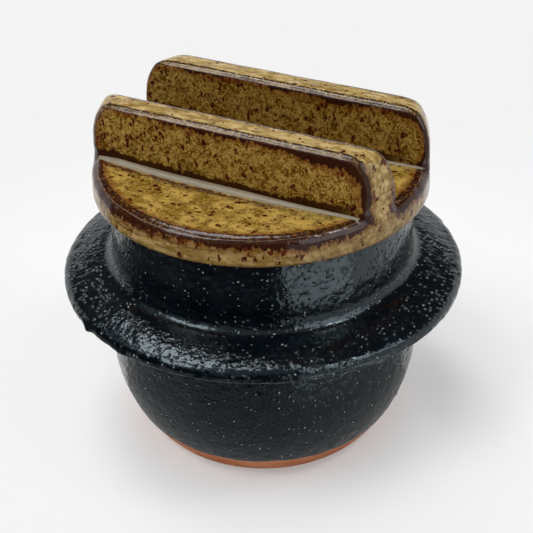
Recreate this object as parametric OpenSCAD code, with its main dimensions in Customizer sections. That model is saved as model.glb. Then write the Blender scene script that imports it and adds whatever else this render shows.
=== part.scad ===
// Brimmed stoneware rice pot with a loose lid that is lifted by two rails.
// Millimetres, +Z up, origin on the table under the middle of the foot.
// The rails run along X and the front of the pot faces -Y.

/* [Neck and mouth] */
// Outer diameter of the neck
neck_d = 108; // [100:1:116]
// Height of the pot from the table to its rim
pot_h = 96; // [90:1:110]
// Thickness of the clay walls
wall = 5; // [4:0.5:6]
// Radius of the rounded edges of the rim
rim_r = 1.5; // [0.8:0.1:1.8]

/* [Bowl] */
// Outer diameter of the bowl at its widest
bowl_d = 114; // [110:1:122]
// Height above the table at which the bowl is widest
belly_z = 34; // [30:1:40]
// How far the bowl stands out past the neck under the brim
shoulder_step = 2.2; // [1:0.1:4]
// Thickness of the bowl's floor above the foot
floor_t = 2.6; // [2:0.1:5]
// Radius inside the bowl between wall and floor
floor_fillet = 12; // [8:1:15]

/* [Foot] */
// Diameter of the foot where it meets the table
foot_d = 91; // [80:1:96]
// Height of the bare clay below the glaze
foot_h = 7.2; // [3:0.1:9]
// Width of the ring that touches the table
foot_ring_w = 9; // [6:0.5:14]
// Depth of the turned recess inside that ring
foot_recess = 2.4; // [0.6:0.1:3]

/* [Brim] */
// How far the brim stands out from the neck
brim_reach = 18.5; // [14:0.5:24]
// Height of the underside of the brim above the table
brim_z = 61; // [56:1:66]
// Thickness of the brim at its outer edge
brim_t = 5; // [4:0.5:7]
// How far the top of the brim climbs from its edge to the neck
brim_rise = 3; // [1:0.5:5]
// Radius of the brim's upper edge
brim_edge_r = 2.6; // [1.5:0.1:3]
// Radius of the brim's lower edge
brim_low_r = 0.8; // [0.4:0.1:1.2]
// Radius of the fillet between brim and neck
neck_fillet = 5; // [3:0.5:7]
// Radius of the fillet between bowl and brim
under_fillet = 3; // [2:0.5:4]
// How far the brim is let down over its seat on the bowl
brim_seat = 0.8; // [0.5:0.1:1.5]

/* [Lid plate] */
// How far the lid stands out past the neck
lid_overhang = 5; // [2:0.5:7]
// Thickness of the lid plate
lid_t = 8.8; // [7:0.2:11]
// Inward lean of the lid's side, in degrees
lid_draft = 3.5; // [1:0.5:5]
// Radius of the lid's upper edge
lid_edge_r = 2.6; // [1.5:0.1:4]
// Radius of the lid's lower edge
lid_low_r = 1; // [0.5:0.1:1.5]

/* [Lid rails] */
// Height of the rails above the lid plate
rail_h = 21.4; // [16:0.2:26]
// Thickness of a rail at its top, before its edges are rounded
rail_t = 11.2; // [9:0.2:14]
// Gap between the rails at their tops
rail_gap = 29.2; // [24:0.2:36]
// Lean of the rails' faces, in degrees
rail_draft = 4; // [1:0.5:6]
// Radius of the rails' long upper edges
rail_edge_r = 2; // [1:0.1:3]
// Radius of the fillets along the foot of the rails
rail_fillet = 2.4; // [1.5:0.1:4]
// Length of the rounding at the upper ends of the rails
rail_corner_w = 7; // [4:0.5:10]
// Height of the rounding at the upper ends of the rails
rail_corner_h = 12; // [6:0.5:15]

/* [Locating ring] */
// Gap all round between the ring under the lid and the mouth
ring_play = 1.5; // [0.8:0.1:2.5]
// Thickness of the ring
ring_t = 4.5; // [3:0.5:6]
// How far the ring reaches into the mouth
ring_h = 6; // [4:0.5:10]
// Radius of the ring's lower edges
ring_edge_r = 1.2; // [0.6:0.1:1.4]

/* [Hidden] */
$fn = 96;
// Steps in each curved stretch of a profile
arc_steps = 14;
// Least thickness at the edge of a fillet
toe = 0.3;
// Overshoot of a cutting shape past the clay it cuts
cut = 2;

neck_r = neck_d / 2;
mouth_r = neck_r - wall;
shoulder_r = neck_r + shoulder_step;
brim_r = neck_r + brim_reach;
bowl_r = bowl_d / 2;
foot_r = foot_d / 2;
floor_z = foot_h + floor_t;

// The bowl's lower wall is an arc that starts at the foot and is upright at the belly
bulge = bowl_r - foot_r;
bowl_arc_r = (bulge * bulge + belly_z * belly_z) / (2 * bulge);
bowl_arc_c = [bowl_r - bowl_arc_r, belly_z];
function bowl_angle(z) = -asin((belly_z - z) / bowl_arc_r);

// Inside, an arc about the same centre runs into the fillet above the floor
inner_arc_r = bowl_arc_r - wall;
fillet_drop = belly_z - floor_z - floor_fillet;
fillet_reach = inner_arc_r - floor_fillet;
floor_fillet_c = bowl_arc_c + [sqrt(fillet_reach * fillet_reach - fillet_drop * fillet_drop), -fillet_drop];
fillet_angle = -asin(fillet_drop / fillet_reach);

// The bowl spreads under the brim into the seat that brim and neck stand on
seat_r = shoulder_r + under_fillet;
seat_z = brim_z + brim_seat;

brim_slope = atan(brim_rise / brim_reach);
function brim_top(r) = brim_z + brim_t + (brim_r - r) * tan(brim_slope);

lid_z = pot_h;
lid_top = lid_z + lid_t;
rail_top = lid_top + rail_h;
lid_r = neck_r + lid_overhang;
function lid_side(z) = lid_r - (z - lid_z) * tan(lid_draft);

rail_y = (rail_gap + rail_t) / 2;
rail_lean = rail_h * tan(rail_draft);
rail_foot_half = rail_t / 2 + rail_lean + rail_fillet;

ring_r = mouth_r - ring_play;

// Points of an arc about c from angle a to angle b
function arc(c, r, a, b) =
    [for (i = [0:arc_steps]) c + r * [cos(a + (b - a) * i / arc_steps), sin(a + (b - a) * i / arc_steps)]];

// Points of the bowl's upper wall: it leans from r0 at the belly to r1 at height z1
function upper_wall(r0, r1, z1) =
    [for (i = [1:arc_steps]) let (t = i / arc_steps)
        [r0 + (r1 - r0) * t * t * (3 - 2 * t), belly_z + (z1 - belly_z) * t]];

function reversed(points) = [for (i = [len(points) - 1:-1:0]) points[i]];

module turned(profile) {
    rotate_extrude()
        polygon(profile);
}

// Bare clay foot with a turned recess, its side on the arc of the bowl
module foot() {
    color("#a85f41")
        difference() {
            turned(concat(
                [[0, 0]],
                arc(bowl_arc_c, bowl_arc_r, bowl_angle(0), bowl_angle(foot_h)),
                [[0, foot_h]]
            ));
            translate([0, 0, -cut])
                cylinder(r = foot_r - foot_ring_w, h = cut + foot_recess);
        }
}

// Floor and wall of the bowl, up to the seat of the brim and the neck
module bowl() {
    outside = concat(
        arc(bowl_arc_c, bowl_arc_r, bowl_angle(foot_h), 0),
        upper_wall(bowl_r, shoulder_r, brim_z - under_fillet),
        arc([seat_r, brim_z - under_fillet], under_fillet, 180, 90),
        [[seat_r, seat_z]]
    );
    inside = concat(
        [[0, floor_z]],
        arc(floor_fillet_c, floor_fillet, -90, fillet_angle),
        arc(bowl_arc_c, inner_arc_r, fillet_angle, 0),
        upper_wall(bowl_r - wall, mouth_r, seat_z)
    );
    color("#20262d")
        turned(concat([[0, foot_h]], outside, reversed(inside)));
}

// Brim round the foot of the neck, let down over its seat on the bowl
module brim() {
    edge_c = [
        brim_r - brim_edge_r,
        brim_top(brim_r - brim_edge_r) - brim_edge_r / cos(brim_slope)
    ];
    fillet_c = [
        neck_r + toe + neck_fillet,
        brim_top(neck_r + toe + neck_fillet) + neck_fillet / cos(brim_slope)
    ];
    color("#1d2329")
        turned(concat(
            [[neck_r, seat_z], [seat_r, seat_z], [seat_r, brim_z]],
            arc([brim_r - brim_low_r, brim_z + brim_low_r], brim_low_r, -90, 0),
            arc(edge_c, brim_edge_r, 0, 90 - brim_slope),
            arc(fillet_c, neck_fillet, 270 - brim_slope, 180),
            [[neck_r, fillet_c.y]]
        ));
}

// Upright collar with the mouth, standing on the bowl inside the brim
module neck() {
    color("#1f252c")
        turned(concat(
            [[mouth_r, seat_z], [neck_r, seat_z]],
            arc([neck_r - rim_r, pot_h - rim_r], rim_r, 0, 90),
            arc([mouth_r + rim_r, pot_h - rim_r], rim_r, 90, 180)
        ));
}

// Strip of the lid plate that one rail stands on
module rail_strip(side) {
    translate([-lid_r - cut, side * rail_y - rail_foot_half, lid_top - lid_t])
        cube([2 * (lid_r + cut), 2 * rail_foot_half, lid_t + 2 * cut]);
}

// What the rounding of the lid's upper edge takes away
module lid_edge_waste() {
    edge_c = [
        lid_side(lid_top) - lid_edge_r * (1 - sin(lid_draft)) / cos(lid_draft),
        lid_top - lid_edge_r
    ];
    turned(concat(
        arc(edge_c, lid_edge_r, lid_draft, 90),
        [
            [edge_c.x, lid_top + cut],
            [lid_r + cut, lid_top + cut],
            [lid_r + cut, edge_c.y + lid_edge_r * sin(lid_draft)]
        ]
    ));
}

// Lid disc, its upper edge rounded except under the ends of the rails
module lid_plate() {
    color("#9c7a35")
        difference() {
            turned(concat(
                [[0, lid_z]],
                arc([lid_r - lid_low_r, lid_z + lid_low_r], lid_low_r, -90, 0),
                [[lid_side(lid_top), lid_top], [0, lid_top]]
            ));
            difference() {
                lid_edge_waste();
                rail_strip(-1);
                rail_strip(1);
            }
        }
}

// Cross-section of a rail, its foot on y = 0 and its middle on x = 0
module rail_section() {
    // One flank of the rail, from the toe of its fillet to its upper edge
    fillet_c = [rail_foot_half, toe + rail_fillet];
    edge_c = [rail_t / 2 - rail_edge_r, rail_h - rail_edge_r];
    flank = concat(
        [[rail_foot_half, 0]],
        arc(fillet_c, rail_fillet, 270, 180 + rail_draft),
        arc(edge_c, rail_edge_r, rail_draft, 90)
    );
    polygon(concat(flank, reversed([for (p = flank) [-p.x, p.y]])));
}

// Space that the ends of the rails stay within, flush with the side of the lid
module rail_space() {
    corner_z = rail_top - rail_corner_h;
    turned(concat(
        [[0, lid_top], [lid_side(lid_top), lid_top]],
        [for (i = [0:arc_steps]) let (a = 90 * i / arc_steps)
            [
                lid_side(corner_z) - rail_corner_w * (1 - cos(a)),
                corner_z + rail_corner_h * sin(a)
            ]],
        [[0, rail_top]]
    ));
}

module rail(side) {
    intersection() {
        translate([-lid_r, side * rail_y, lid_top])
            rotate([90, 0, 90])
                linear_extrude(2 * lid_r)
                    rail_section();
        rail_space();
    }
}

// Grip rail nearer the front
module front_rail() {
    color("#8f6c2c")
        rail(-1);
}

// Grip rail nearer the back
module back_rail() {
    color("#8f6c2c")
        rail(1);
}

// Ring under the lid that drops into the mouth
module lid_ring() {
    ring_z = lid_z - ring_h;
    color("#86652a")
        turned(concat(
            [[ring_r - ring_t, lid_z]],
            arc([ring_r - ring_t + ring_edge_r, ring_z + ring_edge_r], ring_edge_r, 180, 270),
            arc([ring_r - ring_edge_r, ring_z + ring_edge_r], ring_edge_r, 270, 360),
            [[ring_r, lid_z]]
        ));
}

foot();
bowl();
brim();
neck();
lid_plate();
front_rail();
back_rail();
lid_ring();
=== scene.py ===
# %% [markdown]
# # A brimmed rice pot with a railed lid
# This lesson dresses a small stoneware rice pot. Its sizes are settled in a CAD model that is
# loaded first and never changed. Each piece below is made in place over one of its solids, in
# metres, with +Z up and the front of the pot towards -Y, so nothing has to be fitted later.

# %% The frame
import math

import bmesh
import bpy
import numpy as np
from mathutils import Matrix, Vector


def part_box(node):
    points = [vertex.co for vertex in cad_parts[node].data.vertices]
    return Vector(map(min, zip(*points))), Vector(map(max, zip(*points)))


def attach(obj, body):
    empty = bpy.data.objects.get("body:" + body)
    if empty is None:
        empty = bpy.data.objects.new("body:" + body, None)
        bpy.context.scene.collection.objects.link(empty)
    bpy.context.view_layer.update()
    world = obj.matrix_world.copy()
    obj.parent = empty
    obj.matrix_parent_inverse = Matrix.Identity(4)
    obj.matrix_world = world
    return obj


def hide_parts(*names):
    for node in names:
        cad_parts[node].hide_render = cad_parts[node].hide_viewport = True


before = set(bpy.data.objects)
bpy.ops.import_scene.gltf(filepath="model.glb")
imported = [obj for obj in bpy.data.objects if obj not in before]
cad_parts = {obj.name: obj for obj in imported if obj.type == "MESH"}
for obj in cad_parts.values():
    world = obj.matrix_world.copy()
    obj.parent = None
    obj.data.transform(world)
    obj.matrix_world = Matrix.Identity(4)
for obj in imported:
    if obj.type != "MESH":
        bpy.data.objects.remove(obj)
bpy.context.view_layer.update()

# %% [markdown]
# ## Sizes
# Heights and outer radii are read from the frame, so a new size in the CAD model reaches the
# dressed pot by itself. Radii of fillets and edges can't be read from a box, so they are named
# here once. All of them are in millimetres, the unit a potter would measure in.

# %% Sizes from the frame
MM = 0.001


def reach(node):
    """Largest radius of a CAD node about the Z axis, in mm."""
    low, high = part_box(node)
    return max(-low.x, -low.y, high.x, high.y) / MM


def low(node):
    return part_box(node)[0].z / MM


def high(node):
    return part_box(node)[1].z / MM


foot_h = high("foot")
seat_z = high("bowl")
seat_r = reach("bowl")
brim_z = low("brim")
brim_r = reach("brim")
neck_r = reach("neck")
rim_z = high("neck")
lid_z = low("lid_plate")
lid_top = high("lid_plate")
lid_r = reach("lid_plate")
hand_room = 0.4  # the hand leaves the rails uneven, and this much of their height is for that
rail_top = high("front_rail") - hand_room
ring_z = low("lid_ring")
ring_r = reach("lid_ring")
print(f"brim {2 * brim_r:.1f} mm across, rim at {rim_z:.1f} mm, lid up to {rail_top:.1f} mm")

# %% Sizes of walls, edges and fillets
wall = 5.0
foot_r = 45.5
foot_ring_w = 9.0
foot_recess = 2.4
belly_r = 57.0
belly_z = 34.0
shoulder_r = 56.2
floor_t = 2.6
floor_fillet = 12.0
brim_t = 5.0
brim_rise = 3.0
brim_edge = 2.6
brim_low_edge = 0.8
neck_fillet = 5.0
rim_edge = 1.5
lid_lean = math.radians(3.5)
lid_edge = 3.8
lid_dish = 1.0
lid_low_edge = 1.0
rail_y = 20.2
rail_half = 5.6
rail_lean = math.radians(4.0)
rail_edge = 2.6
rail_fillet = 2.3
rail_end_l = 9.5
rail_end_h = 14.0
rail_end_rise = 1.5
ring_t = 4.5
ring_edge = 1.2

mouth_r = neck_r - wall
print(f"mouth {2 * mouth_r:.1f} mm across, walls {wall} mm thick")

# %% [markdown]
# ## Node trees as expressions
# Both finishes and shapes need node trees, and long ones are hard to read when each node is
# added by hand. A small class wraps a socket, so `1 - mask * 2` in Python adds the Math nodes
# for it. Nearly every other node comes from one method that takes the node's type, its settings
# and what goes into its sockets.

# %% A socket that does arithmetic
class Field:
    """A socket with a value in it. Arithmetic on fields adds Math nodes to their tree."""

    def __init__(self, tree, socket):
        self.tree = tree
        self.socket = socket

    def other(self, out):
        """Another output of the same node."""
        return Field(self.tree, self.socket.node.outputs[out])

    def maths(self, operation, *values):
        return self.tree.node("ShaderNodeMath", {"operation": operation}, dict(enumerate(values)))

    def __add__(self, value):
        return self.maths("ADD", self, value)

    def __radd__(self, value):
        return self.maths("ADD", value, self)

    def __sub__(self, value):
        return self.maths("SUBTRACT", self, value)

    def __rsub__(self, value):
        return self.maths("SUBTRACT", value, self)

    def __mul__(self, value):
        return self.maths("MULTIPLY", self, value)

    def __rmul__(self, value):
        return self.maths("MULTIPLY", value, self)

    def __truediv__(self, value):
        return self.maths("DIVIDE", self, value)

    def __rtruediv__(self, value):
        return self.maths("DIVIDE", value, self)

    def __abs__(self):
        return self.maths("ABSOLUTE", self)

    def max(self, value):
        return self.maths("MAXIMUM", self, value)

    def min(self, value):
        return self.maths("MINIMUM", self, value)

    def root(self):
        return self.maths("SQRT", self)

    def ramp(self, start, end):
        """0 before start and 1 after end, with a soft climb between. start may be the larger."""
        return self.tree.node(
            "ShaderNodeMapRange",
            {"interpolation_type": "SMOOTHSTEP"},
            {"Value": self, "From Min": start, "From Max": end},
        )


# %% A tree that hands out fields
class Tree:
    """A node tree of a material or of Geometry Nodes."""

    def __init__(self, data):
        self.data = data
        self.data.nodes.clear()

    def node(self, kind, settings={}, sockets={}, out=0):
        """Adds a node: its settings first, then values or links for its sockets."""
        made = self.data.nodes.new(kind)
        for name, value in settings.items():
            setattr(made, name, value)
        for key, value in sockets.items():
            if isinstance(value, Field):
                self.data.links.new(value.socket, made.inputs[key])
            else:
                made.inputs[key].default_value = value
        return Field(self, made.outputs[out]) if len(made.outputs) else made

    def vector(self, x, y, z):
        return self.node("ShaderNodeCombineXYZ", {}, {0: x, 1: y, 2: z})

    def xyz(self, vector):
        parts = self.node("ShaderNodeSeparateXYZ", {}, {0: vector})
        return parts, parts.other(1), parts.other(2)

    def counted(self, place, size):
        """A place counted in sizes: one size for all three directions, or one for each."""
        sizes = size if isinstance(size, tuple) else (size,) * 3
        by = [1 / s for s in sizes]
        return self.node("ShaderNodeVectorMath", {"operation": "MULTIPLY"}, {0: place, 1: by})

    def noise(self, place, size, detail=2.0, rough=0.5, warp=0.0):
        """Soft noise about 0.5, with blobs of a size."""
        sockets = {"Vector": self.counted(place, size), "Scale": 1.0, "Detail": detail}
        sockets |= {"Roughness": rough, "Distortion": warp}
        return self.node("ShaderNodeTexNoise", {}, sockets)

    def grains(self, place, size):
        """How far it is to the nearest of points strewn about a size apart, counted in sizes."""
        sockets = {"Vector": self.counted(place, size), "Scale": 1.0}
        return self.node("ShaderNodeTexVoronoi", {}, sockets)

    def mix(self, factor, first, second):
        """A colour that goes from the first to the second as factor goes from 0 to 1."""
        settings = {"data_type": "RGBA"}
        return self.node("ShaderNodeMix", settings, {0: factor, 6: first, 7: second}, out=2)


# %% [markdown]
# ## Colours
# A potter names colours, and a hex code is close to that. Blender works with linear
# light, so each code is turned into linear values once, here.

# %% Hex codes to linear light
def paint(code):
    """Linear RGBA of a hex colour such as 8a6c30."""
    parts = [int(code[i : i + 2], 16) / 255 for i in (0, 2, 4)]
    return [c / 12.92 if c < 0.04045 else ((c + 0.055) / 1.055) ** 2.4 for c in parts] + [1.0]


def over(ground, share, code):
    """A ground with a hex colour laid over it by a share from 0 to 1."""
    return share.tree.mix(share, ground, paint(code))


def finish_tree(name):
    """A new material, its tree and its main shader."""
    material = bpy.data.materials.new(name)
    material.use_nodes = True
    tree = Tree(material.node_tree)
    shader = tree.data.nodes.new("ShaderNodeBsdfPrincipled")
    output = tree.data.nodes.new("ShaderNodeOutputMaterial")
    tree.data.links.new(shader.outputs[0], output.inputs[0])
    return material, tree, shader


def feed(tree, shader, **fields):
    """Links fields to the shader's sockets, with _ for a space in a socket's name."""
    for name, field in fields.items():
        tree.data.links.new(field.socket, shader.inputs[name.replace("_", " ")])


def millimetres(tree):
    """Object coordinates in mm."""
    place = tree.node("ShaderNodeTexCoord", {}, {}, out="Object")
    return tree.counted(place, MM)


def mark(tree, name):
    """A value that a piece carries on its points."""
    settings = {"attribute_type": "GEOMETRY", "attribute_name": name}
    return tree.node("ShaderNodeAttribute", settings, {}, out="Fac")


# %% [markdown]
# ## The black glaze
# The pot wears a thick iron glaze that fired blue-black. Grains of the clay show through it as
# cream specks, its gloss wanders, and its skin is pitted and blistered. A painted picture would
# stretch over the turned form. The specks here are points of a Voronoi pattern in space: a
# surface that cuts through a field of small balls shows dots of mixed sizes, as real grit does.
# `thin` marks edges where the glaze ran off, and `calm` places where it lies smooth.

# %% Black glaze: colour
black_glaze, tree, shader = finish_tree("black_glaze")
place = millimetres(tree)

speck_cell = 1.4
grit = tree.grains(place, speck_cell)
from_grit = grit * speck_cell
luck, tone, _ = tree.xyz(grit.other("Color"))
speck_r = 0.02 + 0.27 * luck * luck * luck
speck_blur = 0.04
speck = from_grit.ramp(speck_r + speck_blur, speck_r - speck_blur)

cloud = tree.noise(place, 9, detail=3.0)
pool = tree.mix(cloud.ramp(0.36, 0.64), paint("01060b"), paint("050d14"))
pitted = tree.noise(place, 1.7, detail=1.0)
pool = over(pool, pitted.ramp(0.6, 0.78) * 0.3, "1e2c36")
pale_edge = mark(tree, "thin") * tree.noise(place, 2.5).ramp(0.34, 0.56)
pool = over(pool, pale_edge, "4d5254")
colour = over(pool, speck * (0.25 + 0.65 * tone), "d8d5c5")
print("black glaze:", len(tree.data.nodes), "nodes for its colour")

# %% Black glaze: gloss and skin
patch = tree.noise(place, 6)
gloss = 0.11 + 0.12 * patch + 0.25 * speck
blister = from_grit.ramp(0.75, 0.0) * luck.ramp(0.5, 0.75)
dimple = tree.noise(place, 0.8, detail=1.0)
skin = (pitted * 0.55 + dimple * 0.14 + blister) * (1 - mark(tree, "calm"))
bump = tree.node("ShaderNodeBump", {}, {"Strength": 1.0, "Distance": 0.4 * MM, "Height": skin})
feed(tree, shader, Base_Color=colour, Roughness=gloss, Normal=bump)
shader.inputs["Specular IOR Level"].default_value = 0.5
shader.inputs["Specular Tint"].default_value = (0.74, 0.92, 1.0, 1.0)
print("black glaze:", len(tree.data.nodes), "nodes in all")

# %% [markdown]
# ## Bare clay
# Below the glaze line, and on the ring under the lid, the red clay stays bare so that it does
# not stick to the kiln shelf. It is matt and sandy, with darker and paler grains and a scorch
# here and there. A picture of clay would repeat, or show its edges. Fine noise in both colour
# and bump gives the dry, gritty look all round.

# %% Bare clay
pale_clay = paint("c98660")
red_clay = paint("b36b48")
bare_clay, tree, shader = finish_tree("bare_clay")
place = millimetres(tree)
scorch = tree.noise(place, (14, 14, 5), detail=3.0)
body = tree.mix(scorch.ramp(0.35, 0.68), pale_clay, red_clay)
sand = tree.noise(place, 0.55, rough=0.7)
body = over(body, sand.ramp(0.6, 0.72) * 0.6, "bd8f72")
body = over(body, sand.ramp(0.38, 0.28) * 0.6, "6e4030")
grain = tree.noise(place, 0.9, detail=3.0, rough=0.7)
bump = tree.node(
    "ShaderNodeBump", {}, {"Strength": 0.5, "Distance": 0.15 * MM, "Height": grain + sand * 0.5}
)
feed(tree, shader, Base_Color=body, Roughness=0.8 + 0.15 * sand, Normal=bump)
shader.inputs["Specular IOR Level"].default_value = 0.15
print("bare clay:", len(tree.data.nodes), "nodes")

# %% [markdown]
# ## The ochre glaze
# The lid's glaze is ochre where it lies thick and breaks to dark brown where it runs thin, over
# every rounded edge and just above the rails' fillets; a pale reflection is painted in the
# fillets.
# Painting that by hand would take a texture. Here each point of the lid carries its distance to
# the nearest edge (`edge`) and its place across the fillet (`crease`), in mm, and from 0 to 1
# how far it faces up (`up`) and whether it lies on the round side (`side`), near the top of a
# rail (`rail`) or underneath (`under`). Noise makes the boundaries ragged.

# %% Ochre glaze: ground
def fillet_share(x):
    """How much of the rails' fillet is left at x: full left of the middle, thin at both ends."""
    return 1 - x.ramp(5.0, 57.0) * 0.65 - (x * -1).ramp(38.0, 57.0) * 0.8


ochre_glaze, tree, shader = finish_tree("ochre_glaze")
place = millimetres(tree)
x, _, z = tree.xyz(place)
flat = mark(tree, "up").ramp(0.55, 0.85)

drift = tree.noise(place, (9, 6, 6), detail=3.0)
mottle = tree.noise(place, (3.4, 2.6, 2.6), detail=3.0)
fine = tree.noise(place, 0.9, rough=0.6)
wave = tree.noise(place, 2.2, warp=1.5)
ground = tree.mix(mottle.ramp(0.39, 0.61), paint("533e06"), paint("b39448"))
ground = over(ground, drift.ramp(0.48, 0.62) * (0.6 + 0.2 * flat), "644a08")
# Upright faces get a deeper, darker ochre: a deeper hue, and painted shade.
ground = over(ground, (1 - flat) * 0.58, "5e3800")
ground = over(ground, wave.ramp(0.44, 0.32) * (0.6 - 0.25 * flat), "3c2702")
ground = over(ground, fine.ramp(0.5, 0.7) * 0.12, "b38f34")
# Pale curls lie where the wave passes through its middle.
ground = over(ground, abs(wave - 0.52).ramp(0.07, 0.02) * 0.6, "bd9c50")
quiet = tree.mix(drift.ramp(0.4, 0.6), paint("ab8c4c"), paint("7f6224"))
ground = tree.mix(flat * 0.25, ground, quiet)
print("ochre ground:", len(tree.data.nodes), "nodes")

# %% Ochre glaze: paler on the round side and on the rails' tops
side = mark(tree, "side")
on_top = flat * mark(tree, "rail").ramp(0.4, 0.6)
streak = tree.noise(place, (8, 1.8, 1.8), detail=3.0, rough=0.6)
tan = tree.mix(streak.ramp(0.36, 0.64), paint("957a42"), paint("c9af79"))
tan = over(tan, mottle.ramp(0.52, 0.38) * 0.65, "7d6129")
# The plate's side below its top is painted darker: painted shade.
skirt = z.ramp(lid_top + 1.0, lid_top - 2.0)
tan = over(tan, skirt * 0.45, "5f4718")
ground = tree.mix(side.max(on_top) * 0.9, ground, tan)
print("with the tan parts:", len(tree.data.nodes), "nodes")

# %% Ochre glaze: specks
shake = tree.noise(place, 1.6, detail=1.0).other("Color")
bent = tree.node(
    "ShaderNodeVectorMath", {"operation": "MULTIPLY_ADD"}, {0: shake, 1: (2.2,) * 3, 2: place}
)


def flecks(sizes, more):
    """Dark specks of mixed sizes, longer one way than the others, and the rust round them."""
    cell = tree.grains(bent, sizes)
    luck = tree.xyz(cell.other("Color"))[0]
    size = 0.58 * luck * luck * luck - 0.01 + more
    halo = cell.ramp(size + 0.22, size) * luck.ramp(0.4, 0.7)
    return cell.ramp(size + 0.05, size - 0.05), halo


edge = mark(tree, "edge")
near = edge.ramp(6.5, 2.5) * (0.12 + 0.1 * side) - side * 0.05 - on_top * 0.2
upright, upright_rust = flecks((1.5, 1.5, 2.4), near)
lying, lying_rust = flecks((2.0, 1.4, 1.4), near - 0.02)
dark = upright * (1 - flat) + lying * flat
rusty = upright_rust * (1 - flat) + lying_rust * flat
ground = over(ground, rusty * 0.5, "6c2a06")
ground = over(ground, dark * 0.95, "3a0c04")
print("with specks:", len(tree.data.nodes), "nodes")

# %% Ochre glaze: where it breaks on an edge
lump = tree.noise(place, (1.5, 1.5, 2.4), detail=4.0, rough=0.65) - 0.5
wander = tree.noise(place, 20, detail=1.0) - 0.5
high_up = z.ramp(lid_top + 3.0, lid_top + 8.0)
at_end = high_up * abs(x).ramp(44.0, 53.0)
# The dark band is ragged, widens from left to right on the rails and is narrow at their ends.
run = lump * 6.0 + wander * 6.0 - 0.3 + high_up * (x * 0.024 + 0.2)
run = run * (1 - 0.75 * at_end) - 0.9 * at_end
run = run.max(-1.2) * (1 - 0.8 * flat)
rust = (edge - run * 1.3).ramp(5.4, 2.8) * (1 - on_top)
burnt = (edge - run).ramp(2.9, 2.4) * (1 - flat * fine.ramp(0.5, 0.65) * 0.7)
# On a rail's crest the glaze runs thin; the pale line there is also a painted highlight.
pale_edge = edge.ramp(1.5, 1.0) * high_up * (1 - at_end) * (lump * -1 + wander).ramp(-0.3, 0.2)
pale_edge = pale_edge * (0.75 - x.ramp(-10.0, 40.0) * 0.5)
ground = over(ground, rust * 0.6, "66300c")
ground = over(ground, burnt * (1 - pale_edge) * 0.95, "280d06")
ground = over(ground, pale_edge * 0.8, "a58f78")
# Dark scars run round the plate's side, mostly on the left.
scar = tree.noise(place, (9, 9, 0.9), rough=0.6).ramp(0.53, 0.6)
ground = over(ground, scar * side * skirt * (0.25 + 0.6 * x.ramp(20.0, -30.0)), "3d1f0c")
print("with dark edges:", len(tree.data.nodes), "nodes")

# %% Ochre glaze: where it pools, and a painted reflection in the fillets
crease = mark(tree, "crease")
share = fillet_share(x)
across = crease / share
climb = crease + (tree.noise(place, 2.0, detail=4.0, rough=0.65) - 0.5) * 6.0
# A dark line above the fillet, a pale painted reflection in it, and rust on the plate at its toe.
line = across.ramp(1.3, 1.6) * (climb + wander * 3.0).ramp(3.8, 3.4) * x.ramp(54.0, 40.0)
ground = over(ground, line * 0.95, "2a0903")
painted_fillet_reflection = across.ramp(-1.9, -1.6) * across.ramp(1.6, 1.3)
ground = over(ground, painted_fillet_reflection * 0.88, "9a917c")
low_climb = climb + share * 1.9
toe = low_climb.ramp(-2.3, -1.9) * low_climb.ramp(-0.2, -0.6) * across.ramp(-1.7, -2.0)
ground = over(ground, toe * (1 - x.ramp(0.0, 40.0)) * 0.9, "4a1a08")
# Round the bottom of the plate the glaze gathers in a darker line.
pooled = side * (z + lump * 2.0).ramp(lid_z + 1.6, lid_z + 0.7)
ground = over(ground, pooled * 0.8, "5c430f")
print("with pools:", len(tree.data.nodes), "nodes")

# %% Ochre glaze: underside and gloss
under = mark(tree, "under")
ground = tree.mix(under, ground, tree.mix(fine.ramp(0.35, 0.65), red_clay, pale_clay))
shine = (0.06 + 0.1 * drift + 0.06 * dark).max(under * 0.8).max(painted_fillet_reflection * 0.22)
ripple = tree.noise(place, 2.4) + fine * 0.22
bump = tree.node("ShaderNodeBump", {}, {"Strength": 0.6, "Distance": 0.2 * MM, "Height": ripple})
feed(tree, shader, Base_Color=ground, Roughness=shine, Normal=bump)
shader.inputs["Specular IOR Level"].default_value = 0.26
print("ochre glaze:", len(tree.data.nodes), "nodes in all")

# %% [markdown]
# ## Turned pieces
# The pot was thrown on a wheel, so each of its pieces is a profile turned round the Z axis. A
# Screw modifier would do, but building the rings in code gives each point a known place on the
# profile, and closes the poles on the axis.

# %% Profiles
SPACING = 0.8
TINY = 1e-4


def line_to(a, b, spacing=SPACING):
    """Points from a to b, in mm as (radius, height)."""
    count = max(1, round(math.dist(a, b) / spacing))
    return [tuple(np.array(a) + (np.array(b) - a) * i / count) for i in range(count + 1)]


def arc(centre, radius, start, end, spacing=SPACING):
    """Points of an arc about centre, from one angle in degrees to another."""
    sweep = math.radians(end - start)
    count = max(4, round(abs(sweep) * radius / spacing))
    angles = [math.radians(start) + sweep * i / count for i in range(count + 1)]
    return [(centre[0] + radius * math.cos(a), centre[1] + radius * math.sin(a)) for a in angles]


def profile(*parts):
    """Joins stretches of points and drops the ones that repeat."""
    points = []
    for point in (p for part in parts for p in part):
        if not points or math.dist(points[-1], point) > TINY:
            points.append(point)
    if math.dist(points[0], points[-1]) < TINY:
        points.pop()
    return points


# %% The wheel
def put(name, data):
    """A new object in the scene."""
    thing = bpy.data.objects.new(name, data)
    bpy.context.scene.collection.objects.link(thing)
    return thing


def put_mesh(name, points, faces):
    """A new object made of points and faces."""
    mesh = bpy.data.meshes.new(name)
    mesh.from_pydata(points, [], faces)
    return put(name, mesh)


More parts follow.
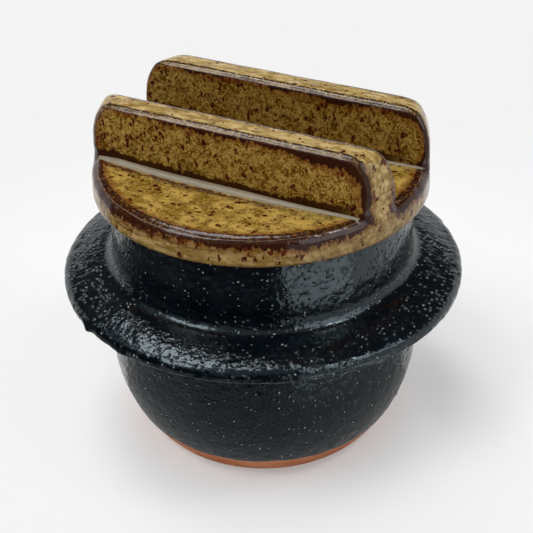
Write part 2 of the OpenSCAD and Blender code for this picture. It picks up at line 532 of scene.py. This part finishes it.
def lathe(name, points, turns):
    """Turns a profile into a closed mesh. The profile climbs outside and comes down inside."""
    verts, rows = [], []
    for radius, height in points:
        spin = 1 if radius < TINY else turns
        rows.append(range(len(verts), len(verts) + spin))
        for j in range(spin):
            a = 2 * math.pi * j / turns
            verts.append((radius * math.cos(a) * MM, radius * math.sin(a) * MM, height * MM))
    pairs = list(zip(rows, rows[1:]))
    if len(rows[0]) > 1:
        pairs.append((rows[-1], rows[0]))
    faces = []
    for a, b in pairs:
        for j in range(turns):
            k = (j + 1) % turns
            if len(a) == 1:
                faces.append((a[0], b[k], b[j]))
            elif len(b) == 1:
                faces.append((a[j], a[k], b[0]))
            else:
                faces.append((a[j], a[k], b[k], b[j]))
    return put_mesh(name, verts, faces)


# %% Points and marks of a piece
def places(piece):
    """x, y and z of a piece's points, in mm."""
    flat_list = np.empty(len(piece.data.vertices) * 3, np.float32)
    piece.data.vertices.foreach_get("co", flat_list)
    return (flat_list.reshape(-1, 3).astype(float) / MM).T


def move_points(piece, x, y, z):
    piece.data.vertices.foreach_set("co", (np.stack([x, y, z], 1) * MM).ravel())
    piece.data.update()


def set_mark(piece, name, values):
    """Writes one number to each point, for node trees to read by name."""
    layer = piece.data.attributes.new(name, "FLOAT", "POINT")
    layer.data.foreach_set("value", np.asarray(values, np.float32))


def soft(value, start, end):
    """0 before start and 1 after end, as Field.ramp."""
    t = np.clip((value - start) / (end - start), 0, 1)
    return t * t * (3 - 2 * t)


# %% [markdown]
# ## A lumpy skin
# The clay under the black glaze is coarse, and the glaze lies on it in low lumps that show even
# in the outline of the pot. Bump alone would leave the outline smooth, so a Geometry Nodes tree
# moves the points along their normals. Its noise runs round the pot on a circle, which lets the
# lumps be longer round the pot than up it without a seam, and grains stand up here and there.

# %% How every shape tree starts and ends
def new_shape_tree(name, sizes):
    """A Geometry Nodes tree with a geometry, a material and named sizes as inputs."""
    group = bpy.data.node_groups.new(name, "GeometryNodeTree")
    group.interface.new_socket("Geometry", in_out="INPUT", socket_type="NodeSocketGeometry")
    group.interface.new_socket("Geometry", in_out="OUTPUT", socket_type="NodeSocketGeometry")
    group.interface.new_socket("Material", in_out="INPUT", socket_type="NodeSocketMaterial")
    for size in sizes:
        group.interface.new_socket(size, in_out="INPUT", socket_type="NodeSocketFloat")
    tree = Tree(group)
    given = tree.node("NodeGroupInput")
    return tree, given, {size: given.other(size) for size in sizes}


def end_tree(tree, given, shape):
    """Smooth shading, real geometry and the finish, as every tree here ends."""
    shape = tree.node("GeometryNodeSetShadeSmooth", {}, {0: shape})
    shape = tree.node("GeometryNodeRealizeInstances", {}, {0: shape})
    shape = tree.node(
        "GeometryNodeSetMaterial", {}, {"Geometry": shape, "Material": given.other("Material")}
    )
    tree.node("NodeGroupOutput", {}, {0: shape})


# %% The skin tree
skin_sizes = ["Lump height", "Lump size", "Lump stretch", "Ripple height", "Grain height"]
tree, given, size = new_shape_tree("lumpy_skin", skin_sizes)
place = tree.counted(tree.node("GeometryNodeInputPosition"), MM)
x, y, z = tree.xyz(place)
radius = (x * x + y * y).root()
# The circle has one radius at all heights. Near the axis it shrinks, or the lumps would pinch.
circle_r = 55.0
shrinks_from = 20.0
lumps = []
# Lumps and ripples: their size as a share, and a place of their own in the noise.
for share, seed in ((1.0, 3.7), (0.38, 11.2)):
    blob = size["Lump size"] * share
    turn = circle_r / (blob * size["Lump stretch"] * radius.max(shrinks_from))
    round_pot = tree.vector(x * turn, y * turn, z / blob + seed)
    sockets = {"Vector": round_pot, "W": radius / blob, "Scale": 1.0, "Detail": 1.0}
    lumps.append(tree.node("ShaderNodeTexNoise", {"noise_dimensions": "4D"}, sockets) - 0.5)
grain_cell = 7.0
grains = tree.grains(place, grain_cell)
chosen = tree.xyz(grains.other("Color"))[1].ramp(0.5, 0.55)
grain = (grains * grain_cell).ramp(1.1, 0.3) * chosen
lift = lumps[0] * size["Lump height"] + lumps[1] * size["Ripple height"]
lift = lift + grain * size["Grain height"]
weight = tree.node("GeometryNodeInputNamedAttribute", {"data_type": "FLOAT"}, {"Name": "skin"})
step = tree.node(
    "ShaderNodeVectorMath",
    {"operation": "SCALE"},
    {0: tree.node("GeometryNodeInputNormal"), "Scale": lift * weight * MM},
)
moved = tree.node("GeometryNodeSetPosition", {}, {"Geometry": given, "Offset": step})
end_tree(tree, given, moved)
lumpy_skin = tree.data
print("skin tree:", len(lumpy_skin.nodes), "nodes")


# %% From tree to plain mesh
def settle(piece):
    """Keeps what the modifiers make of a piece as its plain mesh."""
    ready = piece.evaluated_get(bpy.context.evaluated_depsgraph_get())
    made = bpy.data.meshes.new_from_object(ready)
    piece.modifiers.clear()
    piece.data = made
    print(f"{piece.name}: {len(made.vertices)} points, {len(made.polygons)} faces")


def apply_tree(piece, group, material, sizes):
    """Runs a Geometry Nodes tree on a piece and keeps the result as its plain mesh."""
    modifier = piece.modifiers.new("shape", "NODES")
    modifier.node_group = group
    for socket in group.interface.items_tree:
        if socket.in_out == "INPUT" and socket.name in sizes:
            modifier[socket.identifier] = sizes[socket.name]
        elif socket.in_out == "INPUT" and socket.name == "Material":
            modifier[socket.identifier] = material
    settle(piece)


# %% [markdown]
# ## The bowl
# Its side is an arc that starts at the foot and stands upright at the belly, then leans in to
# a shoulder under the brim. The glaze ends in a soft lip a little above the table, and that lip
# wavers, because the potter wiped it by hand. Where the bowl meets the brim its fillet runs on
# into the brim's underside, so that no gap can open between the two lumpy skins.

# %% The bowl's curves
bulge = belly_r - foot_r
side_r = (bulge**2 + belly_z**2) / (2 * bulge)
side_c = (belly_r - side_r, belly_z)


def side_at(z):
    """Radius of the bowl's arc at a height below the belly."""
    return side_c[0] + math.sqrt(side_r**2 - (belly_z - z) ** 2)


def upper_wall(r0, r1, z1):
    """Points that lean from radius r0 at the belly to r1 at height z1."""
    count = round((z1 - belly_z) / SPACING)
    steps = [i / count for i in range(count + 1)]
    return [(r0 + (r1 - r0) * t * t * (3 - 2 * t), belly_z + (z1 - belly_z) * t) for t in steps]


def side_angle(z):
    return -math.degrees(math.asin((belly_z - z) / side_r))


glaze_t = 0.25
lip_up = 1.5
lip_z = foot_h + lip_up
lip_r = side_at(lip_z)
# A soft step from the bare foot out to the glaze.
lip = [(lip_r - 0.6, lip_z), (lip_r + 0.05, lip_z), (lip_r + 0.2, lip_z + 0.12)]
under_fillet = seat_r - shoulder_r
fillet_drop = belly_z - foot_h - floor_t - floor_fillet
fillet_reach = side_r - wall - floor_fillet
floor_c = (
    side_c[0] + math.sqrt(fillet_reach**2 - fillet_drop**2),
    foot_h + floor_t + floor_fillet,
)
floor_turn = -math.degrees(math.asin(fillet_drop / fillet_reach))
outside = profile(
    [(0, foot_h)],
    line_to((8, foot_h), (lip_r - 3, foot_h), 6),
    lip,
    arc(side_c, side_r + glaze_t, side_angle(lip_z + 0.45), 0),
    upper_wall(belly_r + glaze_t, shoulder_r, brim_z - under_fillet),
    arc((seat_r, brim_z - under_fillet), under_fillet, 180, 90, 0.6),
    line_to((seat_r, brim_z), (seat_r + 1.6, brim_z + 0.25)),
)
inside = profile(
    [(seat_r + 1.2, seat_z), (mouth_r + 2, seat_z), (mouth_r, seat_z)],
    list(reversed(upper_wall(belly_r - wall, mouth_r, seat_z))),
    arc(side_c, side_r - wall, 0, floor_turn, 1.1),
    arc(floor_c, floor_fillet, floor_turn, -90, 1.1),
    line_to((floor_c[0], foot_h + floor_t), (1.5, foot_h + floor_t), 1.5),
    [(0, foot_h + floor_t)],
)
print(f"bowl: {len(outside)} points outside, {len(inside)} inside, lip at {lip_z:.1f} mm")

# %% The bowl
bowl = lathe("glazed_bowl", outside + inside, 448)
x, y, z = places(bowl)
r = np.hypot(x, y)
turn = np.arctan2(y, x)
waver = 0.28 * np.sin(3 * turn + 1.0) + 0.2 * np.sin(7 * turn + 2.1) + 0.16 * np.sin(17 * turn)
waver = waver + 0.12 * np.sin(31 * turn + 1.9)
near_lip = (r > lip_r - 1) * soft(z, lip_z + 2.5, lip_z)
slope = (belly_z - lip_z) / (lip_r - side_c[0])
r_new = r + waver * near_lip * slope
move_points(bowl, r_new * np.cos(turn), r_new * np.sin(turn), z + waver * near_lip)

mid_wall = np.interp(z, [lip_z, belly_z], [lip_r - 1, belly_r - 3])
outer = r > np.where(z < belly_z, mid_wall, shoulder_r - wall / 2)
skin_out = outer * (0.15 + 0.85 * soft(z, lip_z, lip_z + 2.5))
skin_in = ~outer * (z > foot_h + 1) * soft(z, seat_z, seat_z - 3) * 0.45
set_mark(bowl, "skin", np.maximum(skin_out, skin_in))
set_mark(bowl, "thin", outer * soft(z, lip_z + 0.7, lip_z + 0.1) * 0.6)
glaze_lumps = {
    "Lump height": 0.5,
    "Lump size": 3.2,
    "Lump stretch": 1.25,
    "Ripple height": 0.22,
    "Grain height": 0.35,
}
apply_tree(bowl, lumpy_skin, black_glaze, glaze_lumps)

# %% [markdown]
# ## The foot
# A thick disc of bare clay that carries on the arc of the bowl, with a shallow turned recess
# underneath so that it stands on a ring. It is a piece of its own because it stays unglazed, and
# it reaches a little way up behind the lip of the glaze, so that no gap shows there.

# %% The foot
recess_r = foot_r - foot_ring_w
foot_top = lip_z + 0.6
foot_profile = profile(
    [(0, foot_recess)],
    line_to((3, foot_recess), (recess_r - 0.5, foot_recess), 1.6),
    arc((recess_r + 0.35, foot_recess - 0.7), 0.7, 140, 200, 0.2),
    arc((recess_r + 0.7, 0.4), 0.4, 200, 270, 0.2),
    line_to((recess_r + 0.7, 0), (foot_r - 0.7, 0), 1.0),
    arc((foot_r - 0.7, 0.7), 0.7, -90, -30, 0.2),
    arc(side_c, side_r, side_angle(0.8), side_angle(foot_top), 0.6),
    [(lip_r - 2, foot_top), (0, foot_top)],
)
foot = lathe("bare_foot", foot_profile, 400)
z = places(foot)[2]
set_mark(foot, "skin", (z > 0.3) * (z < foot_top - 0.1))
clay_grain = {
    "Lump height": 0.2,
    "Lump size": 6.0,
    "Lump stretch": 3.0,
    "Ripple height": 0.1,
    "Grain height": 0.0,
}
apply_tree(foot, lumpy_skin, bare_clay, clay_grain)

# %% [markdown]
# ## The brim
# A flange luted round the pot, by which it hangs in a stove ring. Its top climbs a little to
# the neck, its upper edge is full and round and its lower edge nearly sharp, where the glaze
# runs thin. The fillet towards the neck goes on a little way inside the neck's skin, so the two
# cross at a flat angle and no joint shows. Glaze that ran together hangs from the lower edge
# in a few beads.

# %% The brim's curves
brim_slope = math.atan(brim_rise / (brim_r - neck_r))


def brim_top(r):
    return brim_z + brim_t + (brim_r - r) * math.tan(brim_slope)


edge_c = (
    brim_r - brim_edge,
    brim_top(brim_r - brim_edge) - brim_edge / math.cos(brim_slope),
)
fillet_c = (
    neck_r + neck_fillet,
    brim_top(neck_r + neck_fillet) + neck_fillet / math.cos(brim_slope),
)
lean = math.degrees(brim_slope)
tucked_r = neck_r - 1.2
edge_end = arc(edge_c, brim_edge, 0, 90 - lean, 0.5)
fillet = arc(fillet_c, neck_fillet, 270 - lean, 180, 0.6)
brim_profile = profile(
    [(tucked_r, brim_z + 0.5), (seat_r - 1.0, brim_z + 0.2)],
    line_to((seat_r, brim_z), (brim_r - brim_low_edge, brim_z)),
    arc((brim_r - brim_low_edge, brim_z + brim_low_edge), brim_low_edge, -90, 0, 0.25),
    line_to((brim_r, brim_z + brim_low_edge), (brim_r, edge_c[1]), 0.5),
    edge_end,
    line_to(edge_end[-1], fillet[0]),
    fillet,
    [(neck_r - 0.06, fillet_c[1] + 0.8), (neck_r - 0.3, fillet_c[1] + 1.6)],
    [(tucked_r, fillet_c[1] + 1.8)],
)
print(f"brim: {len(brim_profile)} points, its top leans {lean:.1f} degrees")

# %% The brim
brim = lathe("glazed_brim", brim_profile, 560)
x, y, z = places(brim)
r = np.hypot(x, y)
turn = np.degrees(np.arctan2(y, x))
low_rim = soft(r, brim_r - 2.5, brim_r - 0.3) * soft(z, brim_z + 2.4, brim_z + 0.6)
# Beads of glaze: angle round the pot, width in degrees, drop in mm.
beads = [(-118, 1.6, 0.9), (-103, 2.6, 0.35), (-31, 2.2, 0.4), (64, 1.8, 0.6), (158, 2.4, 0.5)]
bead = low_rim * sum(drop * np.exp(-(((turn - at) / width) ** 2)) for at, width, drop in beads)
# Towards its edge the top droops.
droop_w = 13.0
droop_h = 1.3
droop = np.clip((r - brim_r + droop_w) / droop_w, 0, 1) ** 2 * soft(z, brim_z + 1.0, brim_z + 4.0)
out = 1 + 0.6 * bead / r
move_points(brim, x * out, y * out, z - bead - droop_h * droop)

# %% The brim's marks
# The glaze lies calm in the fillet and is roughest at the front and on the edge.
in_fillet = soft(r, neck_r + 1.4 * neck_fillet, neck_r + neck_fillet) * (z > brim_z + brim_t)
in_fillet = in_fillet * soft(r, neck_r + 0.1 * neck_fillet, neck_r + 0.4 * neck_fillet)
on_edge = soft(r, brim_r - 4.5, brim_r - 2.0) * (z > brim_z + 1.5)
front_turn = -85
front_width = 38
at_front = np.exp(-(((turn - front_turn) / front_width) ** 2))
set_mark(brim, "calm", np.maximum(0.25 * (1 - at_front), 0.7 * in_fillet))
full_skin = soft(r, neck_r - 0.9, neck_r - 0.2)
set_mark(brim, "skin", full_skin * (1 - 0.6 * in_fillet + 0.4 * on_edge))
low_edge = soft(z, brim_z + 0.75, brim_z + 0.35)
set_mark(brim, "thin", soft(r, brim_r - 1.2, brim_r - 0.4) * low_edge)
apply_tree(brim, lumpy_skin, black_glaze, glaze_lumps)

# %% [markdown]
# ## The neck
# An upright collar with a rounded rim that the lid lies on. The rim stays smooth so that the lid
# has a level seat. Below the brim's fillet the wall draws in slightly and hides inside the brim.

# %% The neck
fillet_z = fillet_c[1]
neck_profile = profile(
    [(mouth_r, seat_z), (mouth_r + 2, seat_z), (neck_r - 1.4, seat_z)],
    line_to((neck_r - 1.4, seat_z + 1), (neck_r - 0.9, fillet_z - 2.5), 2.0),
    [(neck_r - 0.35, fillet_z - 1.2), (neck_r - 0.08, fillet_z - 0.4), (neck_r, fillet_z + 0.4)],
    line_to((neck_r, fillet_z + 0.9), (neck_r, rim_z - rim_edge)),
    arc((neck_r - rim_edge, rim_z - rim_edge), rim_edge, 0, 90, 0.4),
    line_to((neck_r - rim_edge, rim_z), (mouth_r + rim_edge, rim_z), 0.6),
    arc((mouth_r + rim_edge, rim_z - rim_edge), rim_edge, 90, 180, 0.4),
    line_to((mouth_r, rim_z - rim_edge), (mouth_r, seat_z), 1.1),
)
neck = lathe("glazed_neck", neck_profile, 448)
x, y, z = places(neck)
r = np.hypot(x, y)
outer = r > neck_r - wall / 2
skin_out = outer * soft(z, rim_z - 0.4, rim_z - 3) * (z > seat_z + 1)
skin_in = ~outer * soft(z, seat_z, seat_z + 3) * soft(z, rim_z - 0.4, rim_z - 3) * 0.45
set_mark(neck, "skin", np.maximum(skin_out, skin_in))
set_mark(neck, "thin", soft(z, rim_z - 0.5, rim_z) * 0.7)
neck_calm = 0.4
set_mark(neck, "calm", np.full_like(z, neck_calm))
apply_tree(neck, lumpy_skin, black_glaze, glaze_lumps)

# %% [markdown]
# ## The lid as one rule
# The lid is a disc with two rails, pressed and then softened by hand: every edge is rounded and
# every inner corner filled. Bevels would have to be chosen edge by edge. Instead the form is
# written as distances: how far a point lies outside the plate's top, the rails' flanks, the
# round side. Two distances meet in a rounded edge or join in a fillet by one formula each, and
# a volume filled with the result turns into a mesh.

# %% Rounded edge and fillet
def meet(a, b, radius):
    """Distance outside the part that lies in both a and b, its edge rounded."""
    inside = a.max(b).min(radius * -1)
    return inside + (corner(a + radius) + corner(b + radius)).root()


def join(a, b, radius):
    """Distance outside the part that lies in a or b, its inner corner filled."""
    outside = a.min(b).max(radius)
    return outside - (corner(radius - a) + corner(radius - b)).root()


def corner(value):
    """Square of what lies above zero."""
    above_zero = value.max(0.0)
    return above_zero * above_zero


# %% The lid's distances
lid_sizes = {
    "Plate radius": lid_r,
    "Plate bottom": lid_z,
    "Plate top": lid_top,
    "Plate edge": lid_edge,
    "Plate dish": lid_dish,
    "Plate low edge": lid_low_edge,
    "Rail top": rail_top,
    "Rail middle": rail_y,
    "Rail half": rail_half,
    "Rail edge": rail_edge,
    "Rail fillet": rail_fillet,
    "End length": rail_end_l,
    "End height": rail_end_h,
    "End rise": rail_end_rise,
    "Waviness": 0.5,
}


def lid_distances(tree, size):
    """How far a point lies outside each face of the lid, in mm."""
    place = tree.counted(tree.node("GeometryNodeInputPosition"), MM)
    x, y, z = tree.xyz(place)
    half = size["Rail half"] + (size["Rail top"] - z) * math.tan(rail_lean)
    flank = (abs(abs(y) - size["Rail middle"]) - half) * math.cos(rail_lean)
    above = z - size["Rail top"]
    rails = meet(flank, above, size["Rail edge"])
    out = (x * x + y * y).root()
    # The plate's top climbs towards its edge, like a shallow dish.
    over_plate = z - size["Plate top"] - out.ramp(30.0, 58.0) * size["Plate dish"]
    fillet = size["Rail fillet"] * fillet_share(x)
    crown = join(over_plate, rails, fillet)
    wide = size["Plate radius"] - (z - size["Plate bottom"]) * math.tan(lid_lean)
    round_side = (out - wide) * math.cos(lid_lean)
    over_end = (above - size["End rise"]) / size["End height"]
    ends = meet(round_side / size["End length"], over_end, 1.0) * size["End length"]
    steps = join(over_plate, flank, fillet)
    # The ends of the rails are less rounded than the edge of the plate.
    edge = size["Plate edge"] * (1 - 0.4 * over_plate.ramp(0.5, 4.0))
    faces = {"flank": flank, "above": above, "crown": crown, "ends": ends, "steps": steps}
    return {"place": place, "z": z, "plate": over_plate, "edge": edge, **faces}


# %% The lid tree
tree, given, size = new_shape_tree("railed_lid", lid_sizes)
to = lid_distances(tree, size)
form = meet(to["crown"], to["ends"], to["edge"])
hand = tree.noise(to["place"], 7, detail=1.0) - 0.5
height = to["z"] - size["Plate bottom"]
form = form + hand * height.ramp(0.6, 2.5) * size["Waviness"]
form = meet(form, height * -1, size["Plate low edge"])

voxel = 0.65
room = 2
far_outside = 9.0
span = (lid_r + room, lid_r + room, rail_top + room)
start = (-lid_r - room, -lid_r - room, lid_z - room)
block = {"Density": form * -1, "Background": -far_outside}
for axis, letter in enumerate("XYZ"):
    block[f"Resolution {letter}"] = round((span[axis] - start[axis]) / voxel)
block["Min"] = [c * MM for c in start]
block["Max"] = [c * MM for c in span]
volume = tree.node("GeometryNodeVolumeCube", {}, block)
surface = tree.node("GeometryNodeVolumeToMesh", {}, {"Volume": volume, "Threshold": 0.0})
end_tree(tree, given, surface)
print("lid tree:", len(tree.data.nodes), "nodes")

# %% The lid's form
whole = put("lid_whole", bpy.data.meshes.new("lid_whole"))
apply_tree(whole, tree.data, ochre_glaze, lid_sizes)
x, y, z = places(whole)
print(f"lid from {z.min():.2f} to {z.max():.2f} mm, radius {np.hypot(x, y).max():.2f} mm")

# %% [markdown]
# ## Three pieces out of one
# The plate and its rails are pieces of their own, as they were before the potter joined them.
# They are cut from the common form with boxes, just below the plate's top, so the fillets keep
# running smoothly from one piece into the next.

# %% Cutting boxes
SHARP_FROM = math.radians(50)


def box_cutter(name, y_mid, y_half, z_from, z_to):
    """A plain box across the lid, only used to cut with."""
    mesh = bpy.data.meshes.new(name)
    form = bmesh.new()
    bmesh.ops.create_cube(form, size=1.0)
    across = Matrix.Diagonal((4 * lid_r * MM, 2 * y_half * MM, (z_to - z_from) * MM, 1))
    middle = Matrix.Translation((0, y_mid * MM, (z_from + z_to) / 2 * MM))
    bmesh.ops.transform(form, matrix=middle @ across, verts=form.verts)
    form.to_mesh(mesh)
    form.free()
    return put(name, mesh)


def cut(name, source, cutters, operation):
    """A new piece: what the cutters leave of the source, or what they take from it."""
    piece = put(name, source.data.copy())
    for cutter in cutters:
        knife = piece.modifiers.new("cut", "BOOLEAN")
        knife.operation = operation
        knife.solver = "MANIFOLD"
        knife.object = cutter
    settle(piece)
    piece.data.set_sharp_from_angle(angle=SHARP_FROM)
    return piece


# %% Plate and rails
beside_fillet = 0.6
below_top = 0.45
above_rail = 10
cut_half = rail_half + (rail_top - lid_top) * math.tan(rail_lean) + rail_fillet + beside_fillet
cutters = [
    box_cutter(f"knife_{i}", s * rail_y, cut_half, lid_top - below_top, rail_top + above_rail)
    for i, s in enumerate((-1, 1))
]
plate = cut("lid_disc", whole, cutters, "DIFFERENCE")
front = cut("front_grip_rail", whole, cutters[:1], "INTERSECT")
back = cut("back_grip_rail", whole, cutters[1:], "INTERSECT")
for spent in [whole, *cutters]:
    bpy.data.objects.remove(spent)

# %% [markdown]
# ## Marks for the glaze to break on
# Each point of the lid gets its distances to the faces of the form, by the same rule that made
# it. On one face a distance is about zero, so the larger of two is how far a point lies from the
# edge where two faces meet. The smaller of that for the ends and for the long edges of the
# rails is the distance to the nearest edge.

# %% The marking tree
tree, given, size = new_shape_tree("lid_marks", lid_sizes)
to = lid_distances(tree, size)
nowhere_near = 50.0
from_end = abs(to["ends"])
on_side = from_end.ramp(2.2, 0.6)
on_rail = to["plate"].ramp(2.0, 3.0)
long_edge = abs(to["flank"]).max(abs(to["above"])) + nowhere_near * (1 - on_rail)
climb = to["plate"] - to["flank"].max(0.0)
end_edge = from_end.max(abs(to["steps"]))
# Where the edge is rounded more than a rail's, its band is drawn in to the same width.
drawn_in = end_edge / to["edge"] * size["Rail edge"]
end_edge = drawn_in.max(end_edge - to["edge"] + size["Rail edge"])
marks = {
    "edge": end_edge.min(long_edge),
    "crease": climb + nowhere_near * on_side + nowhere_near * to["flank"].ramp(-1.2, -1.6),
    "up": tree.xyz(tree.node("GeometryNodeInputNormal"))[2].max(0.0),
    "side": on_side,
    "rail": to["above"].ramp(-3.0, -1.0),
    "under": (to["z"] - size["Plate bottom"]).ramp(0.5, 0.1),
}
shape = given
for name, value in marks.items():
    sockets = {"Geometry": shape, "Name": name, "Value": value}
    shape = tree.node("GeometryNodeStoreNamedAttribute", {"data_type": "FLOAT"}, sockets)
end_tree(tree, given, shape)
for piece in (plate, front, back):
    apply_tree(piece, tree.data, ochre_glaze, lid_sizes)

# %% [markdown]
# ## The ring under the lid
# A ring of bare clay that drops into the mouth and keeps the lid from sliding off. It is turned
# like the pot, with a little of the hand left in it.

# %% The ring
ring_in = ring_r - ring_t
ring_profile = profile(
    arc((ring_in + ring_edge, ring_z + ring_edge), ring_edge, 180, 270, 0.3),
    line_to((ring_in + ring_edge, ring_z), (ring_r - ring_edge, ring_z), 0.5),
    arc((ring_r - ring_edge, ring_z + ring_edge), ring_edge, 270, 360, 0.3),
    line_to((ring_r, ring_z + ring_edge), (ring_r, lid_z), 0.7),
    line_to((ring_r, lid_z), (ring_in, lid_z), 1.5),
    line_to((ring_in, lid_z), (ring_in, ring_z + ring_edge), 0.7),
)
ring = lathe("lid_locating_ring", ring_profile, 360)
z = places(ring)[2]
set_mark(ring, "skin", soft(z, lid_z - 0.1, lid_z - 1.5))
apply_tree(ring, lumpy_skin, bare_clay, clay_grain)

# %% [markdown]
# ## Riding and replacing
# Each piece takes the place of one CAD solid and moves with that solid's body. The table also
# names each solid's finish, which its piece already wears.

# %% Pieces and what they stand for
stands_for = {
    "foot": (foot, "pot", "bare_clay"),
    "bowl": (bowl, "pot", "black_glaze"),
    "brim": (brim, "pot", "black_glaze"),
    "neck": (neck, "pot", "black_glaze"),
    "lid_plate": (plate, "lid", "ochre_glaze"),
    "front_rail": (front, "lid", "ochre_glaze"),
    "back_rail": (back, "lid", "ochre_glaze"),
    "lid_ring": (ring, "lid_ring", "bare_clay"),
}
for node, (piece, body, slot) in stands_for.items():
    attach(piece, body)
    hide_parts(node)
    print(f"{piece.name} stands for {node} and rides on {body}")

# %% [markdown]
# ## A plain studio
# A pale sheet that sweeps up into a low wall all round, a dim world above it and four soft
# lights. Lamps strong enough for a pale background would wash out the pot, so the sheet glows by
# itself for the eye and for reflections: least in the shadow behind the pot and to its right,
# more in front of it and fully farther away.

# %% Floor and backdrop
sweep_r = 500
floor_r = 2400
wall_z = 1250
sweep = profile(
    [(0, 0), (200, 0)],
    line_to((200, 0), (floor_r, 0), 550),
    arc((floor_r, sweep_r), sweep_r, -90, 0, 80),
    [(floor_r + sweep_r, wall_z)],
)
floor = lathe("floor", sweep, 96)
below_foot = 0.2
floor.location.z = -below_foot * MM
print("floor:", len(floor.data.vertices), "points")

# %% The sheet's glow
pale = (0.9, 0.9, 0.9, 1)
paper, tree, shader = finish_tree("pale_sheet")
shader.inputs["Base Color"].default_value = pale
shader.inputs["Roughness"].default_value = 0.9
# Only rays from the camera and reflected or refracted ones see the glow.
way = tree.node("ShaderNodeLightPath")
seen = way.max(way.other("Is Glossy Ray")).max(way.other("Is Transmission Ray"))
x, y, z = tree.xyz(millimetres(tree))
rise = z.ramp(0.0, sweep_r)
radius = (x * x + y * y).root()
# How far a point lies towards the camera, and how far to the right in the picture.
facing = math.radians(28)
ahead = x * math.sin(facing) - y * math.cos(facing)
beside = x * math.cos(facing) + y * math.sin(facing)
clear = (ahead - beside * 0.5).ramp(-60.0, 20.0)
shade = (1 - clear) * radius.ramp(120.0, 85.0) * radius.ramp(55.0, 75.0) * 0.85
bright = (0.27 + 0.24 * radius.ramp(46.0, 90.0)) * (1 - shade)
bright = bright + 0.36 * radius.ramp(40.0, 90.0) * clear
bright = bright + 0.6 * radius.ramp(110.0, 300.0) + 0.42 * rise
glow = tree.node("ShaderNodeEmission", {}, {"Color": pale, "Strength": 1.0})
both = tree.node("ShaderNodeMixShader", {}, {0: seen * bright.min(1.0), 2: glow})
tree.data.links.new(shader.outputs[0], both.socket.node.inputs[1])
tree.data.links.new(both.socket, tree.data.nodes["Material Output"].inputs[0])
floor.data.materials.append(paper)
print("sheet:", len(tree.data.nodes), "nodes")

# %% A dim world
# Reflections see less of it than the clay does, so the glaze stays black.
world = bpy.data.worlds.new("dim_world")
world.use_nodes = True
bpy.context.scene.world = world
sky = Tree(world.node_tree)
dim = 0.2 - 0.14 * sky.node("ShaderNodeLightPath").other("Is Glossy Ray")
light = sky.node("ShaderNodeBackground", {}, {"Color": (1, 1, 1, 1), "Strength": dim})
sky.node("ShaderNodeOutputWorld", {}, {0: light})
print("world:", len(sky.data.nodes), "nodes")


# %% Lights
def softbox(name, towards, strength, angle):
    """A soft light that comes from a direction, given as a vector from the pot to the light."""
    lamp = bpy.data.lights.new(name, "SUN")
    lamp.energy = strength
    lamp.angle = math.radians(angle)
    holder = put(name, lamp)
    holder.rotation_euler = Vector(towards).to_track_quat("Z", "Y").to_euler()
    print(f"{name}: strength {strength}, {angle} degrees wide")


softbox("key_light", (-0.4, -0.42, 0.815), 0.85, 24)
softbox("window_light", (-0.32, 0.25, 0.91), 1.4, 28)
softbox("overhead_light", (-0.2, -0.4, 0.89), 0.45, 80)
softbox("right_light", (0.5, 0.1, 0.86), 0.5, 10)

# %% [markdown]
# ## Cards for the reflections
# A glossy pot shows what stands round it. Like a photographer's cards, a black one keeps the
# front dark, a dim grey one paints the floor's shade round the foot into reflections, and two
# white ones glow to paint the bright bands on the right. More lamps would light the clay as
# well, and these cards show only in reflections.

# %% Cards
def card(name, path, ends, glow):
    """A bent card round the pot, from one angle to another, that only reflections show."""
    steps = 32
    corners = []
    for reach_mm, height in path:
        for a in np.radians(np.linspace(*ends, steps + 1)):
            across = reach_mm * MM
            corners.append((across * math.sin(a), -across * math.cos(a), height * MM))
    faces = []
    for row in range(len(path) - 1):
        for i in range(row * (steps + 1), row * (steps + 1) + steps):
            faces.append((i, i + 1, i + steps + 2, i + steps + 1))
    board = put_mesh(name, corners, faces)
    finish, _, shader = finish_tree(name)
    shader.inputs["Base Color"].default_value = (0.01, 0.01, 0.01, 1)
    shader.inputs["Emission Color"].default_value = (1, 1, 1, 1)
    shader.inputs["Emission Strength"].default_value = glow
    board.data.materials.append(finish)
    board.visible_camera = board.visible_diffuse = board.visible_shadow = False
    print(f"{name}: from {ends[0]} to {ends[1]} degrees, glow {glow}")


card("black_card", [(150, 0.5), (2000, 0.5), (2000, 1100)], (-80, 42), 0.0)
# Painted shade: the shaded floor round the foot, as reflections see it.
card("grey_card", [(47, 0.5), (150, 0.5)], (-62, 120), 0.3)
# Painted reflections: two glowing cards draw bright bands on the right.
card("white_card", [(150, 0.5), (205, 0.5)], (42, 85), 2.2)
card("high_card", [(300, 190), (300, 430)], (50, 105), 3.0)

# %% [markdown]
# ## The camera
# It stands where the photograph was taken from: to the right of the front, a little over a
# third of a right angle above the table, about 42 cm from the middle of the pot. The lens is
# given by how many pixels of a 533-pixel frame one unit of slope covers, and a small shift
# frames the pot.

# %% Camera
frame_px = 533
azimuth, elevation, roll = (math.radians(a) for a in (28.17, 33.40, -1.21))
distance, focal_px = 421.06, 1130.48
shift_px = (3.27, 8.15)
middle_z = 55
sensor_w = 36

back_way = Vector(
    (
        math.sin(azimuth) * math.cos(elevation),
        -math.cos(azimuth) * math.cos(elevation),
        math.sin(elevation),
    )
)
right_way = Vector((math.cos(azimuth), math.sin(azimuth), 0))
up_way = back_way.cross(right_way)
tilted_right = right_way * math.cos(roll) + up_way * math.sin(roll)
tilted_up = up_way * math.cos(roll) - right_way * math.sin(roll)
spot = Vector((0, 0, middle_z)) + back_way * distance

lens = bpy.data.cameras.new("camera")
lens.sensor_width = sensor_w
lens.lens = sensor_w * focal_px / frame_px
lens.shift_x, lens.shift_y = (s / frame_px for s in shift_px)
lens.clip_start = 0.01
camera = put("camera", lens)
camera.matrix_world = Matrix.Translation(spot * MM) @ Matrix(
    (tilted_right, tilted_up, back_way)
).transposed().to_4x4()
bpy.context.scene.camera = camera
bpy.context.scene.view_settings.view_transform = "Standard"
print(f"camera {distance:.0f} mm away, lens {lens.lens:.1f} mm")
